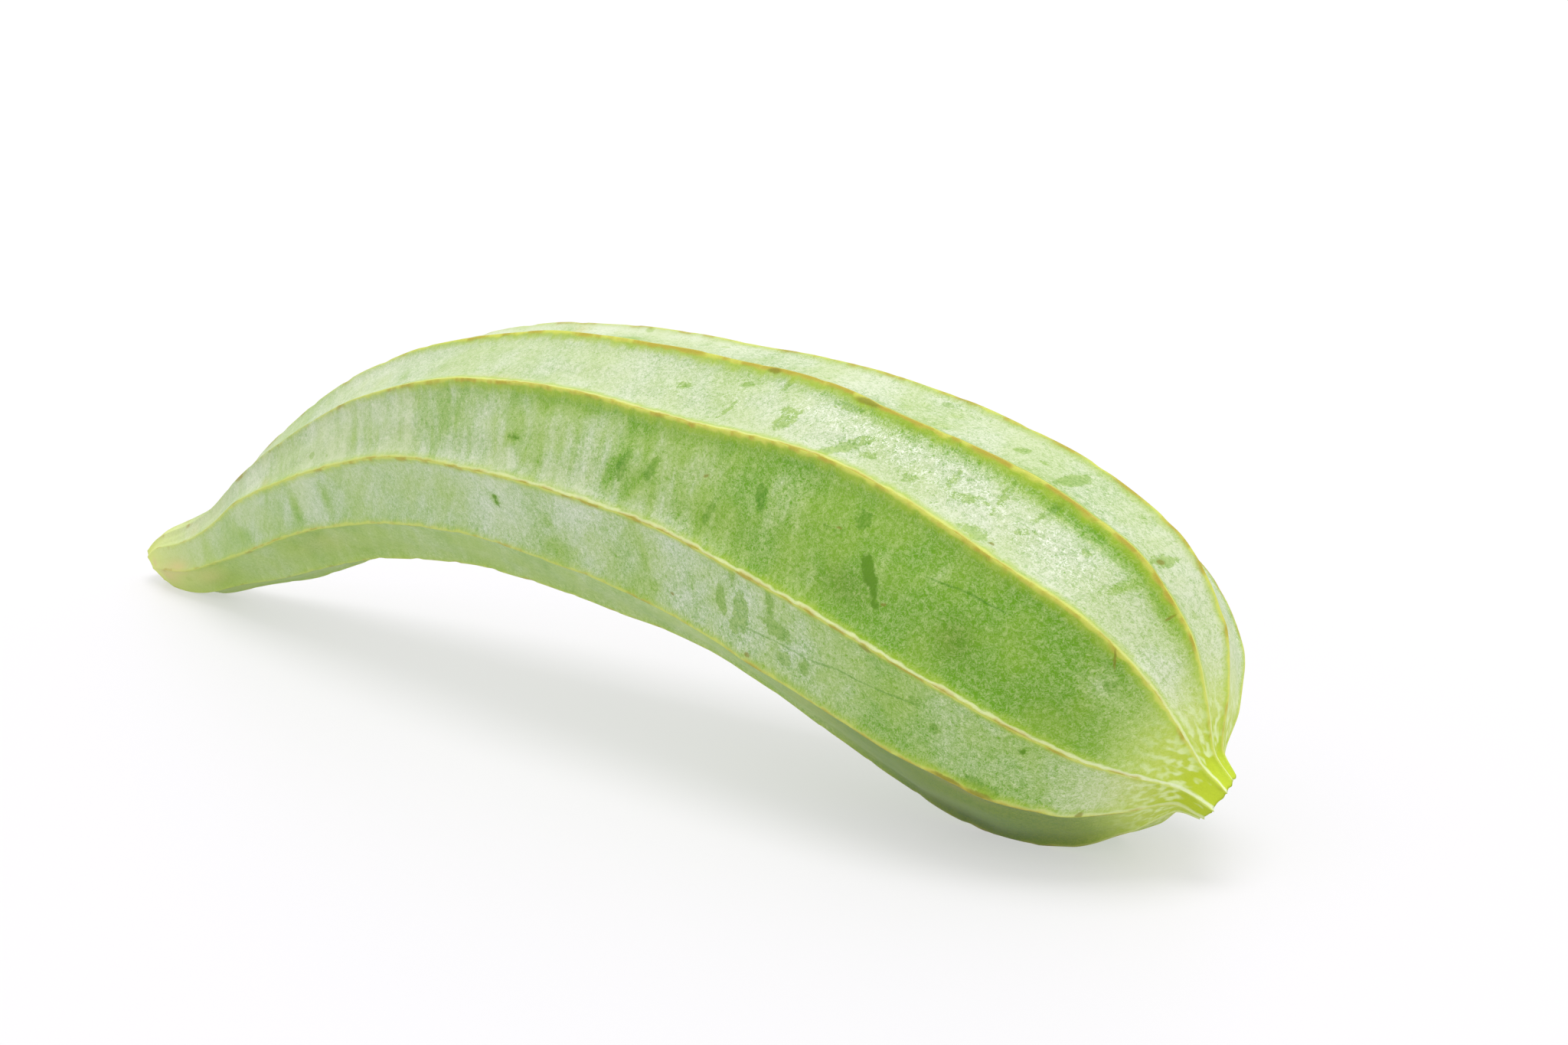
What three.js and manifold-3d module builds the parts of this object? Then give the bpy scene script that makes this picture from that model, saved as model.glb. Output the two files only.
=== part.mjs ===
// Ridge gourd (angled luffa): one picked fruit that lies as an arch on its two ends.
//
// Millimetres, +Z up. The fruit's axis is a curve in the XZ plane that runs towards +X, from the cut
// stem end to the blossom end. The origin is on the surface that the fruit lies on, under the middle
// of the fruit's box. The skin is one closed surface of two parameters: the distance along the axis
// and the angle round it, where ten sharp ribs run from end to end and turn slowly about the axis.

import * as THREE from 'three';
import { mergeVertices } from 'three/addons/utils/BufferGeometryUtils.js';
import Module from 'manifold-3d';

// ---------- Driving dimensions ----------

const AXIS_LENGTH = 300;

// Radius out to the rib crests: [distance along the axis, radius].
const CREST_RADIUS = [
  [0, 4.3], [8, 6.4], [18, 8.1], [33, 9.6], [54, 13.6], [84, 17], [120, 21], [156, 24], [192, 25.7],
  [225, 28.8], [252, 29.9], [271, 27.8], [285, 21.3], [292, 13.2], [296.5, 5.8], [300, 4.4],
];

// Slope of the axis: [distance along the axis, degrees above the horizontal].
const AXIS_SLOPE = [
  [0, 27], [12, 11], [30, 23.5], [55, 26.5], [90, 19], [150, 0.5], [210, -9], [260, -19.5], [285, -27],
  [300, -28.5],
];

// Turn of the ribs: [distance along the axis, degrees from straight down to rib 0, towards -Y].
const RIB_TURN = [[0, 34], [75, 25], [150, 19], [225, 19], [300, 24]];

// How each rib, from rib 0 on, leaves its even place: [distance along the axis, degrees].
const RIB_SHIFTS = [
  [[0, -4], [300, -4]],
  [[0, 7], [30, 6], [50, 3.3], [70, 1.2], [100, 0], [230, 0.3], [280, 1.5], [300, 1.5]],
  [[0, 11], [50, 10], [62, 7], [75, 2.9], [100, 0.7], [150, -0.7], [200, -1.8], [255, -2.7], [300, -2]],
  [[0, 3], [60, 1.5], [105, 0.7], [140, 3], [195, 3.3], [228, 6.2], [262, 2.9], [280, 4.8], [300, 5]],
  [[0, -2], [120, -2], [150, 1.5], [200, 2.2], [235, -3.6], [262, -1.3], [275, 0.4], [300, 0]],
  [[0, -9.5], [300, -9.5]],
  [[0, -7], [300, -7]],
  [[0, -5], [300, -5]],
  [[0, -4], [300, -4]],
  [[0, -5], [300, -5]],
];
const RIB_COUNT = RIB_SHIFTS.length;

const RIB_HEIGHT = 1.5; // crest above the faces at its sides
const RIB_HEIGHT_SHARE = 0.08; // largest height as a share of the crest radius, on the necks
const FLANK_WIDTH = 1.4; // distance in which the flank falls to about a third
const FLANK_WIDTH_SHARE = 0.07; // largest flank width as a share of the crest radius
const CREST_ROUNDING = 0.3;
const FACE_FLATNESS = 0.35; // 0 is round between the ribs, 1 is flat
const UPRIGHT_OVAL = 0.075; // the section is taller than wide by this share each way

// Growth marks: low swellings of the faces, and crests that rise, sink and wander a little.
const SWELLING = 0.2;
const CREST_UNEVENNESS = 0.05;
const CREST_WANDER = 0.15;
const FULL_GROWTH_RADIUS = 15; // below this radius the growth marks shrink with the section

// Both ends are cut aslant: how far the rim moves along the axis for each millimetre towards -Y and
// for each millimetre down, and the length of skin next to the cut that moves with it.
const STEM_CUT = { towardFront: 0.5, down: 0.35, reach: 12 };
const BLOSSOM_CUT = { towardFront: 0.55, down: -0.22, reach: 8 };
const DISH_DEPTH = 1.1; // both cut ends are slightly hollow
const DISH_SHARE = 0.6; // radius of the dish's middle ring, as a share of the rim
const FLAT_DEPTH = 0.8; // how much the lowest crests are flattened where the fruit rests

// Rings of the faceted skin: [from, to, steps] along the axis.
const RING_SPANS = [[0, 8, 4], [8, 33, 6], [33, 270, 46], [270, 290, 6], [290, 300, 6]];
// Places of the columns between one rib and the next, as a share of the way.
const COLUMN_SHARES = [0, 0.06, 0.16, 0.36, 0.64, 0.84, 0.94];
const AXIS_STEP = 0.25;

// ---------- Curves ----------

// A smooth curve through the rows [at, value] that never swings past them: cubic pieces whose
// slope at a row is the harmonic mean of the slopes on its two sides, or level at a turning point.
function smoothTable(rows) {
  const at = rows.map((row) => row[0]);
  const value = rows.map((row) => row[1]);
  const rise = at.slice(1).map((end, i) => (value[i + 1] - value[i]) / (end - at[i]));
  const slope = at.map((_, i) => {
    const before = rise[Math.max(i - 1, 0)];
    const after = rise[Math.min(i, rise.length - 1)];
    return before * after > 0 ? (2 * before * after) / (before + after) : 0;
  });
  return (x) => {
    let i = 0;
    while (i < rise.length - 1 && x > at[i + 1]) {
      i += 1;
    }
    const span = at[i + 1] - at[i];
    const t = (x - at[i]) / span;
    const start = value[i] * (1 + 2 * t) * (1 - t) ** 2 + slope[i] * span * t * (1 - t) ** 2;
    const finish = value[i + 1] * (3 - 2 * t) * t ** 2 - slope[i + 1] * span * (1 - t) * t ** 2;
    return start + finish;
  };
}

const crestRadius = smoothTable(CREST_RADIUS);
const axisSlope = smoothTable(AXIS_SLOPE);
const ribTurn = smoothTable(RIB_TURN);
const ribShifts = RIB_SHIFTS.map(smoothTable);

// The axis as close points, each a step along the slope from the one before.
function layAxis() {
  const points = [new THREE.Vector3()];
  for (let s = AXIS_STEP / 2; s < AXIS_LENGTH; s += AXIS_STEP) {
    const slope = THREE.MathUtils.degToRad(axisSlope(s));
    const step = new THREE.Vector3(Math.cos(slope), 0, Math.sin(slope)).multiplyScalar(AXIS_STEP);
    points.push(points[points.length - 1].clone().add(step));
  }
  return points;
}

const axisPoints = layAxis();

// The section's place at a distance along the axis: its centre, the way along, and the way down.
function sectionAt(s) {
  const place = s / AXIS_STEP;
  const i = Math.min(Math.floor(place), axisPoints.length - 2);
  const slope = THREE.MathUtils.degToRad(axisSlope(s));
  return {
    centre: axisPoints[i].clone().lerp(axisPoints[i + 1], place - i),
    along: new THREE.Vector3(Math.cos(slope), 0, Math.sin(slope)),
    down: new THREE.Vector3(Math.sin(slope), 0, -Math.cos(slope)),
  };
}

// ---------- Skin ----------

const growth = (s) => Math.min(crestRadius(s) / FULL_GROWTH_RADIUS, 1);

// Angle of a rib in radians. Past the last rib the count goes on round the fruit.
function ribAngle(rib, s) {
  const lap = Math.floor(rib / RIB_COUNT);
  const own = rib - lap * RIB_COUNT;
  const even = ribTurn(s) + (360 / RIB_COUNT) * own + ribShifts[own](s) + 360 * lap;
  const wander = Math.sin(s / 11 + 1.9 * own) + 0.5 * Math.sin(s / 6.3 + 4.1 * own);
  return THREE.MathUtils.degToRad(even) + (CREST_WANDER * growth(s) * wander) / crestRadius(s);
}

// Height of a rib's crest above the faces: uneven along the rib, and low on the necks.
function ribHeight(rib, s) {
  const own = rib % RIB_COUNT;
  const height = Math.min(RIB_HEIGHT, RIB_HEIGHT_SHARE * crestRadius(s));
  const uneven = Math.sin(s / 5.1 + 2.4 * own) + 0.6 * Math.sin(s / 2.9 + 1.7 * own);
  return height * (1 + CREST_UNEVENNESS * growth(s) * uneven);
}

// A rib's profile across: 1 on its rounded crest, falling in a hollow curve down its flank.
function flank(distance, width) {
  const rounded = Math.hypot(distance, CREST_ROUNDING) - CREST_ROUNDING;
  return Math.exp(-rounded / width);
}

// Distance from the axis to the skin, at a share of the way from a rib to the next.
function skinRadius(s, rib, share) {
  const crest = crestRadius(s);
  const gap = ribAngle(rib + 1, s) - ribAngle(rib, s);
  const faceRadius = crest - Math.min(RIB_HEIGHT, RIB_HEIGHT_SHARE * crest);
  const flatness = 1 - Math.cos(gap / 2) / Math.cos(gap * (share - 0.5));
  const width = Math.min(FLANK_WIDTH, FLANK_WIDTH_SHARE * crest);
  const thisRib = ribHeight(rib, s) * flank(crest * gap * share, width);
  const nextRib = ribHeight(rib + 1, s) * flank(crest * gap * (1 - share), width);
  const round = (2 * Math.PI * (rib + share)) / RIB_COUNT;
  const swelling = Math.cos(3 * round + s / 19) + 0.7 * Math.cos(5 * round - s / 13);
  return faceRadius * (1 - FACE_FLATNESS * flatness) + thisRib + nextRib + SWELLING * growth(s) * swelling;
}

// How far a point moves along the axis so that the end near it is cut aslant.
function cutShift(s, sideways, downward) {
  const shift = (cut, fromEnd) => {
    const nearness = Math.max(1 - fromEnd / cut.reach, 0) ** 2;
    return nearness * (cut.towardFront * sideways + cut.down * downward);
  };
  return shift(STEM_CUT, s) + shift(BLOSSOM_CUT, AXIS_LENGTH - s);
}

function skinPoint(s, rib, share) {
  const section = sectionAt(s);
  const angle = THREE.MathUtils.lerp(ribAngle(rib, s), ribAngle(rib + 1, s), share);
  const radius = skinRadius(s, rib, share);
  const downward = radius * Math.cos(angle) * (1 + UPRIGHT_OVAL);
  const sideways = radius * Math.sin(angle) * (1 - UPRIGHT_OVAL);
  return section.centre
    .addScaledVector(section.down, downward)
    .addScaledVector(section.along, cutShift(s, sideways, downward))
    .add(new THREE.Vector3(0, -sideways, 0));
}

// ---------- Faceted solid ----------

function ringDistances() {
  const distances = [RING_SPANS[0][0]];
  for (const [from, to, steps] of RING_SPANS) {
    for (let i = 1; i <= steps; i += 1) {
      distances.push(from + ((to - from) * i) / steps);
    }
  }
  return distances;
}

function skinRing(s) {
  const ring = [];
  for (let rib = 0; rib < RIB_COUNT; rib += 1) {
    for (const share of COLUMN_SHARES) {
      ring.push(skinPoint(s, rib, share));
    }
  }
  return ring;
}

// The middle ring and the centre of a hollow end, sunk into the fruit by the dish's depth.
function dish(s, rim, inward) {
  const section = sectionAt(s);
  const centre = section.centre.clone().addScaledVector(section.along, inward * DISH_DEPTH);
  const halfway = section.centre.clone().addScaledVector(section.along, inward * DISH_DEPTH * 0.7);
  const ring = rim.map((point) => {
    const outward = point.clone().sub(section.centre);
    return halfway.clone().addScaledVector(outward, DISH_SHARE);
  });
  return { ring, centre };
}

// One closed skin: stem centre, rings from the stem end's dish to the blossom end's, blossom centre.
function skinGeometry() {
  const rings = ringDistances().map(skinRing);
  const stem = dish(0, rings[0], 1);
  const blossom = dish(AXIS_LENGTH, rings[rings.length - 1], -1);
  rings.unshift(stem.ring);
  rings.push(blossom.ring);
  const columns = rings[0].length;
  const points = [stem.centre, ...rings.flat(), blossom.centre];
  const at = (ring, column) => 1 + ring * columns + (column % columns);
  const faces = [];
  for (let column = 0; column < columns; column += 1) {
    faces.push(0, at(0, column), at(0, column + 1));
    faces.push(points.length - 1, at(rings.length - 1, column + 1), at(rings.length - 1, column));
    for (let ring = 0; ring < rings.length - 1; ring += 1) {
      const corner = at(ring, column);
      const opposite = at(ring + 1, column + 1);
      faces.push(corner, at(ring + 1, column), opposite);
      faces.push(corner, opposite, at(ring, column + 1));
    }
  }
  const geometry = new THREE.BufferGeometry().setFromPoints(points);
  geometry.setIndex(faces);
  return geometry;
}

// ---------- Flats that it rests on ----------

const manifold = await Module();
manifold.setup();

function toSolid(geometry) {
  const plain = geometry.clone();
  plain.deleteAttribute('normal');
  plain.deleteAttribute('uv');
  const merged = mergeVertices(plain);
  const vertProperties = new Float32Array(merged.attributes.position.array);
  const triVerts = new Uint32Array(merged.index.array);
  return new manifold.Manifold(new manifold.Mesh({ numProp: 3, vertProperties, triVerts }));
}

function toGeometry(solid) {
  const mesh = solid.getMesh();
  const geometry = new THREE.BufferGeometry();
  geometry.setAttribute('position', new THREE.BufferAttribute(mesh.vertProperties, mesh.numProp));
  geometry.setIndex(new THREE.BufferAttribute(mesh.triVerts, 1));
  return geometry;
}

// Cuts the lowest crests level, then puts the cut on the ground with the fruit's box over the origin.
function restOnGround(geometry) {
  geometry.computeBoundingBox();
  const { min, max } = geometry.boundingBox;
  const slab = new THREE.BoxGeometry(2 * (max.x - min.x), 4 * (max.y - min.y), max.z - min.z);
  slab.translate((min.x + max.x) / 2, 0, min.z + FLAT_DEPTH - (max.z - min.z) / 2);
  const trimmed = toGeometry(toSolid(geometry).subtract(toSolid(slab)));
  trimmed.computeBoundingBox();
  const box = trimmed.boundingBox;
  return trimmed.translate(-(box.min.x + box.max.x) / 2, -(box.min.y + box.max.y) / 2, -box.min.z);
}

// ---------- Fruit ----------

const skin = new THREE.MeshStandardMaterial({ color: 0xa3c076, roughness: 0.55, metalness: 0 });
const geometry = restOnGround(skinGeometry());
geometry.computeVertexNormals();
const gourd = new THREE.Mesh(geometry, skin);
gourd.name = 'gourd';

const group = new THREE.Group();
group.add(gourd);

export default group;
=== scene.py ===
import math

import bpy
import numpy as np
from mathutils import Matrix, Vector


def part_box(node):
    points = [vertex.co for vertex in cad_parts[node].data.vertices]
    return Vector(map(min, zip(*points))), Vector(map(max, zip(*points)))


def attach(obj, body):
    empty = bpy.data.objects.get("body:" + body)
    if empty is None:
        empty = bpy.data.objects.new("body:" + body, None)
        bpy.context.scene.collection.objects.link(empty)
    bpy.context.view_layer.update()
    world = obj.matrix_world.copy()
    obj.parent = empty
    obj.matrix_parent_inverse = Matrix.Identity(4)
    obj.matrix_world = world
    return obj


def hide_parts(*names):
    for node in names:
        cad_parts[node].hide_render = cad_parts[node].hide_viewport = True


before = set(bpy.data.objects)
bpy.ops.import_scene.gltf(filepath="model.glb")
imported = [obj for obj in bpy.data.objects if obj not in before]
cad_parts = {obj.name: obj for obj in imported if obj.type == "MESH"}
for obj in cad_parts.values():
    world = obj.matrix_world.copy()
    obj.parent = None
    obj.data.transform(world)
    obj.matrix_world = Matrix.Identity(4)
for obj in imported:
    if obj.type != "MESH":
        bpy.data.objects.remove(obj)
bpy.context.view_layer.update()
cad_low, cad_high = (np.array(corner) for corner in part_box("gourd"))

# One ridge gourd: a felted green skin over ten sharp ribs, a cut stem end and a cut blossom end.
# Lengths are millimetres until a mesh is written, which is in metres. Places on the skin are given
# as the distance along the axis from the stem end, and as a turn: the number of the rib below plus
# the share of the way up to the next rib. Seen from the front the turn grows upwards.

MM = 0.001

# ---------- The fruit's own dimensions, the same as the solid's ----------

AXIS_LENGTH = 300.0

# Radius out to the rib crests: (distance along the axis, radius).
CREST_RADIUS = (
    (0, 4.3), (8, 6.4), (18, 8.1), (33, 9.6), (54, 13.6), (84, 17), (120, 21), (156, 24), (192, 25.7),
    (225, 28.8), (252, 29.9), (271, 27.8), (285, 21.3), (292, 13.2), (296.5, 5.8), (300, 4.4),
)

# Slope of the axis: (distance along the axis, degrees above the horizontal).
AXIS_SLOPE = (
    (0, 27), (12, 11), (30, 23.5), (55, 26.5), (90, 19), (150, 0.5), (210, -9), (260, -19.5),
    (285, -27), (300, -28.5),
)

# Turn of the ribs: (distance along the axis, degrees from straight down to rib 0, towards -Y).
RIB_TURN = ((0, 34), (75, 25), (150, 19), (225, 19), (300, 24))

# How each rib, from rib 0 on, leaves its even place: (distance along the axis, degrees).
RIB_SHIFTS = (
    ((0, -4), (300, -4)),
    ((0, 7), (30, 6), (50, 3.3), (70, 1.2), (100, 0), (230, 0.3), (280, 1.5), (300, 1.5)),
    (
        (0, 11), (50, 10), (62, 7), (75, 2.9), (100, 0.7), (150, -0.7), (200, -1.8), (255, -2.7),
        (300, -2),
    ),
    ((0, 3), (60, 1.5), (105, 0.7), (140, 3), (195, 3.3), (228, 6.2), (262, 2.9), (280, 4.8), (300, 5)),
    ((0, -2), (120, -2), (150, 1.5), (200, 2.2), (235, -3.6), (262, -1.3), (275, 0.4), (300, 0)),
    ((0, -9.5), (300, -9.5)),
    ((0, -7), (300, -7)),
    ((0, -5), (300, -5)),
    ((0, -4), (300, -4)),
    ((0, -5), (300, -5)),
)
RIB_COUNT = len(RIB_SHIFTS)

RIB_HEIGHT = 1.5
RIB_HEIGHT_SHARE = 0.08
FLANK_WIDTH = 1.4
FLANK_WIDTH_SHARE = 0.07
CREST_ROUNDING = 0.3
FACE_FLATNESS = 0.35
UPRIGHT_OVAL = 0.075
SWELLING = 0.2
CREST_UNEVENNESS = 0.05
CREST_WANDER = 0.15
FULL_GROWTH_RADIUS = 15.0
DISH_DEPTH = 1.1
FLAT_DEPTH = 0.8
AXIS_STEP = 0.25

# The slanting cuts: how far the rim moves along the axis for each millimetre towards -Y and for each
# millimetre down, and the length of skin that moves with it.
STEM_CUT = (0.5, 0.35, 12.0)
BLOSSOM_CUT = (0.55, -0.22, 8.0)

# ---------- Finer shape that only this surface carries ----------

RING_SPANS = ((0, 8, 20), (8, 284, 380), (284, 300, 48))
COLUMNS_PER_FACE = 20
COLUMN_CROWDING = 0.75  # 0 spaces the columns evenly, 1 crowds them most at the ribs
DISH_RINGS = 8
FINE_SWELLING = 0.08
CREST_NICKS = 0.12
TORN_RIM = 0.25

# ---------- Bloom: the pale felt's cover of the green skin, 0 to 1 ----------

# The felt's four levels.
BARE, THIN, EVEN, THICK = -0.1, 0.3, 0.6, 0.85

# Cover of each face in broad zones, from the face over rib 0 on: (distance along the axis, cover).
FACE_BLOOM = (
    # The face over rib 0 is bare from 260 to 285 partly as painted shade, under the bulge near the
    # ground.
    ((0, THIN), (200, THIN), (260, BARE), (285, BARE), (300, THIN)),
    ((0, EVEN), (200, EVEN), (260, THIN), (300, EVEN)),
    ((0, THICK), (50, THICK), (130, EVEN), (200, THIN), (245, BARE), (280, BARE), (300, EVEN)),
    ((0, THICK), (280, THICK), (300, EVEN)),
    ((0, THICK), (280, THICK), (300, EVEN)),
    ((0, THICK), (300, THICK)),
    ((0, EVEN), (150, EVEN), (245, THIN), (300, EVEN)),
    ((0, EVEN), (140, EVEN), (260, THIN), (300, EVEN)),
    ((0, EVEN), (150, EVEN), (260, BARE), (300, EVEN)),
    ((0, THIN), (200, THIN), (270, BARE), (300, THIN)),
)

# Slow thick and thin of the felt along a face, drawn at random: waves, their lengths in
# millimetres and their height.
PATCH_SEED = 11
PATCH_WAVES = 3
PATCH_LENGTHS = (22.0, 75.0)
PATCH_HEIGHT = 0.07

# Cover added on both sides of each rib, from rib 0 on: (distance along the axis, below, above).
RIB_BLOOM = (
    ((0, -0.1, 0), (300, -0.1, 0)),
    ((0, 0, -0.1), (300, 0, -0.1)),
    ((0, 0.1, 0), (80, 0.1, 0), (120, 0.1, 0.3), (200, 0.1, 0.3), (240, 0, -0.1), (300, 0, 0)),
    ((0, 0.1, 0), (130, 0, 0), (160, -0.5, 0.2), (250, -0.2, 0.2), (300, 0, 0)),
    ((0, 0, 0), (130, 0, -0.2), (240, -0.6, -0.3), (280, -0.8, -0.2), (300, 0, 0)),
    ((0, 0.1, 0), (160, 0.5, 0), (210, 0.1, 0), (300, 0.1, 0)),
) + (((0, 0, 0), (300, -0.2, 0)),) * 4
RIB_BLOOM_REACH = 3.0
BLOOM_PLACE_STRENGTH = 1.3

# Soft places with more or less bloom: distance along the axis, turn, half length and half height in
# millimetres, lean of the length in degrees, cover added.
# Two of these are painted light and shade: the broad pale place at 282.2 on the face over rib 2 is a
# painted highlight of the light on the bulge, and the place at 268 low on the face over rib 0 is partly
# painted shade near the ground.
BLOOM_PLACES = (
    (30, 0.3, 6, 3, 10, -0.35), (66, 0.7, 5, 2, 20, -0.2), (77, 0.85, 5, 1.6, 30, -0.25),
    (86, 0.2, 4, 2, 0, -0.2), (268, 0.2, 18, 4, 0, -0.25), (31, 1.65, 2.5, 5, 0, -0.2),
    (51, 1.3, 5.5, 3, -15, -0.35), (75, 1.45, 2.2, 7, 0, -0.35), (87, 1.5, 2, 6, 0, -0.28),
    (147, 1.68, 4, 1.6, -25, -0.25), (148.3, 1.62, 1.2, 1.5, -60, -0.35),
    (163.5, 1.52, 2.3, 1.4, -30, -0.3), (165, 1.2, 8, 3, 0, -0.22), (131, 1.5, 2, 1.3, 0, -0.12),
    (190, 1.55, 1.3, 4.6, 10, -0.25), (191, 1.22, 2.6, 1.4, 0, -0.2), (203.3, 1.43, 1.4, 3, 0, -0.2),
    (262, 1.48, 2, 1.2, 20, -0.2), (273.8, 1.53, 1.3, 1.1, 0, -0.25), (278, 1.76, 0.8, 1, 0, -0.3),
    (66, 2.14, 4, 2, -20, -0.25), (154, 2.42, 3.4, 1.2, 10, -0.3), (157.6, 2.24, 1, 2.2, 0, -0.25),
    (153, 2.22, 1.7, 1.4, 0, 0.4), (155, 2.14, 1.6, 1.1, 0, 0.45), (171, 2.9, 3.6, 1.4, 0, -0.3),
    (181, 2.38, 1.5, 4, -32, -0.55), (187.2, 2.32, 1.4, 4, -28, -0.4), (195.5, 2.5, 1.4, 6, -8, 0.2),
    (199, 2.3, 2, 4, -8, -0.15), (189.3, 2.6, 1.2, 5, -10, 0.2), (204, 2.25, 1.8, 3, 0, -0.25),
    (216.5, 2.54, 1.1, 3.8, 18, -0.35), (238, 2.28, 6.5, 4, 0, -0.35), (232.4, 2.2, 0.9, 4, -12, 0.3),
    (254.3, 2.7, 1.1, 4.2, -28, 0.35), (251.5, 2.62, 0.9, 3.6, -28, 0.2), (262, 2.36, 4, 3.6, 0, -0.22),
    (272.5, 2.5, 8, 6, 0, -0.3), (282.2, 2.67, 5.2, 4.6, 25, 0.48), (114.3, 3.35, 2, 4, 25, -0.3),
    (144, 3.2, 1.6, 1.6, 0, -0.3), (154, 3.16, 5, 1, 0, -0.3), (170, 3.92, 1, 0.8, 0, -0.4),
    (187.4, 3.53, 1.8, 1, 0, -0.35), (275.6, 3.62, 0.9, 3.8, -15, -0.5), (281, 3.9, 4, 2, 0, -0.3),
    (146, 4.65, 4, 4, 20, -0.4), (165, 4.45, 5, 3, 0, -0.4), (180.5, 4.75, 1.5, 1.4, 0, -0.25),
    (229, 4.65, 1.2, 1.4, 0, -0.25), (235, 4.66, 1.6, 1.2, 30, -0.25), (228.2, 4.36, 1, 1.8, 20, -0.25),
    (236.7, 4.27, 1.5, 1.5, 30, -0.25), (268.6, 4.8, 2, 1.1, 0, -0.3), (226, 3.92, 12, 1.6, 0, -0.25),
    (262, 3.88, 14, 2.4, 0, -0.45), (196.5, 2.7, 1.3, 3.6, -24, -0.3),
    (210, 2.42, 1.2, 4.4, -20, -0.28), (222.5, 2.38, 1.2, 3.4, -24, -0.25),
    (206.5, 2.72, 1, 3, -24, 0.25), (219, 2.74, 1, 3, -20, 0.28), (201, 2.5, 0.9, 3.4, -20, 0.2),
    (96, 6.4, 9, 4, 20, -0.3), (178, 6.6, 7, 3, -15, -0.35), (226, 6.3, 4, 5, 10, 0.3),
    (240, 6.7, 2, 4, -25, 0.35), (84, 7.5, 6, 4, 0, -0.3), (134, 7.3, 2, 5, -20, -0.35),
    (141, 7.6, 1.6, 5, -15, 0.3), (203, 7.4, 2, 5, 20, -0.35), (211, 7.5, 1.6, 5, 15, 0.35),
    (248, 7.5, 6, 5, 0, -0.3), (118, 8.4, 8, 4, 0, -0.25), (168, 8.5, 2, 5, 25, -0.35),
    (176, 8.4, 1.6, 5, 20, 0.3), (228, 8.5, 5, 4, 0, 0.3), (262, 8.5, 6, 4, 0, -0.25),
    (150, 9.5, 12, 4, 0, -0.25),
)

# Painted light and shade of each face, as a factor on its colour, from the face over rib 0 on:
# (distance along the axis, factor). The underside face over rib 0 is painted darker where the bulge
# nears the ground and lighter elsewhere, the face over rib 1 lighter, and the next four lighter at
# the blossom end.
PAINTED_FACE_LIGHTING = (
    ((0, 1.05), (200, 1.1), (260, 0.6), (285, 0.6), (295, 1.15), (300, 1.15)),
    ((0, 1.08), (300, 1.08)),
) + (((0, 1), (280, 1), (295, 1.2), (300, 1.2)),) * 4 + (((0, 1), (300, 1)),) * 4

# Painted shade: brightness added in soft places, as for the bloom. The two on the face over rib 0
# darken the underside of the bulge near the ground, the two on the face over rib 2 darken the bulge.
PAINTED_SHADE_PLACES = (
    (266, 0.05, 26, 5, 0, -0.24), (271, 0.93, 8, 1.4, 0, -0.2), (261.5, 2.36, 4, 3.4, 0, -0.22),
    (239, 2.28, 6, 3.5, 0, -0.16),
)

# Yellow of both ends, before the cut faces: (distance along the axis, amount).
END_YELLOW = ((0, 1), (12, 0.5), (30, 0.12), (60, 0), (280, 0), (300, 0.8))

# Yellow that each face has all along, from the face over rib 0 on.
FACE_YELLOW = (0.1, 0, 0, 0, 0, 0, 0, 0, 0.05, 0.05)

# Ochre places of the stem end: soft places as for the bloom.
OCHRE_PLACES = (
    (3.5, 1.35, 2, 1.4, 0, 0.7), (17, 1.1, 5.5, 2.2, 0, 0.9), (10, 0.7, 6, 2.6, 0, 0.8),
    (27, 0.6, 7, 3, 0, 0.4), (26, 2.45, 3, 2, 0, 0.25), (66, 2.14, 3, 1.6, -20, 0.35),
    (75, 0.6, 14, 4, 0, 0.18), (268, 0.85, 8, 1.6, 0, 0.4), (149, 4.7, 2, 3, 20, 0.4),
    (145, 3.08, 8, 1, 0, 0.3),
)

# Olive yellow with pale islands before the blossom end: (distance along the axis, amount).
TIP = ((0, 0), (287, 0), (291, 0.25), (294, 0.75), (296.5, 1), (300, 1))

# How plainly the felt's curls stand out: (distance along the axis, factor).
FELT_GRAIN = ((0, 0.4), (60, 0.5), (130, 0.65), (190, 0.85), (225, 1), (300, 1))

# Soft streaks across the faces: amount on each face, and how far they lean, in millimetres along for
# each millimetre up.
STREAK_SHARE = (0.6, 0.5, 1.3, 0.35, 0.35, 0.4, 0.5, 0.6, 0.6, 0.5)
STREAK_SPAN = ((0, 0), (45, 0.4), (70, 1), (180, 1.1), (235, 1.1), (258, 0.5), (280, 0.15), (300, 0))
STREAK_LEAN = (-0.8, -1.0, 0.15, 0.8, 0.4, 0, -0.5, 0.5, 0.2, -0.3)

# Painted highlights: white glints where the light catches the skin, mostly on the top face over
# rib 3: soft places as for the bloom.
PAINTED_GLINT_PLACES = (
    (222, 3.6, 12, 4, 0, 0.9), (213, 3.45, 5, 4, 0, 0.7), (236, 3.6, 10, 4, 0, 0.8),
    (200, 3.55, 5, 5, 0, 0.5), (252, 3.5, 16, 6, 0, 0.8), (268, 3.45, 8, 5, 0, 0.8),
    (186, 3.45, 5, 4, 0, 0.5), (216, 1.6, 4, 3, 0, 0.3), (281, 2.7, 3, 3, 0, 0.12),
    (230, 7.4, 14, 5, 0, 0.5), (190, 6.5, 14, 5, 0, 0.5),
)
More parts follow.
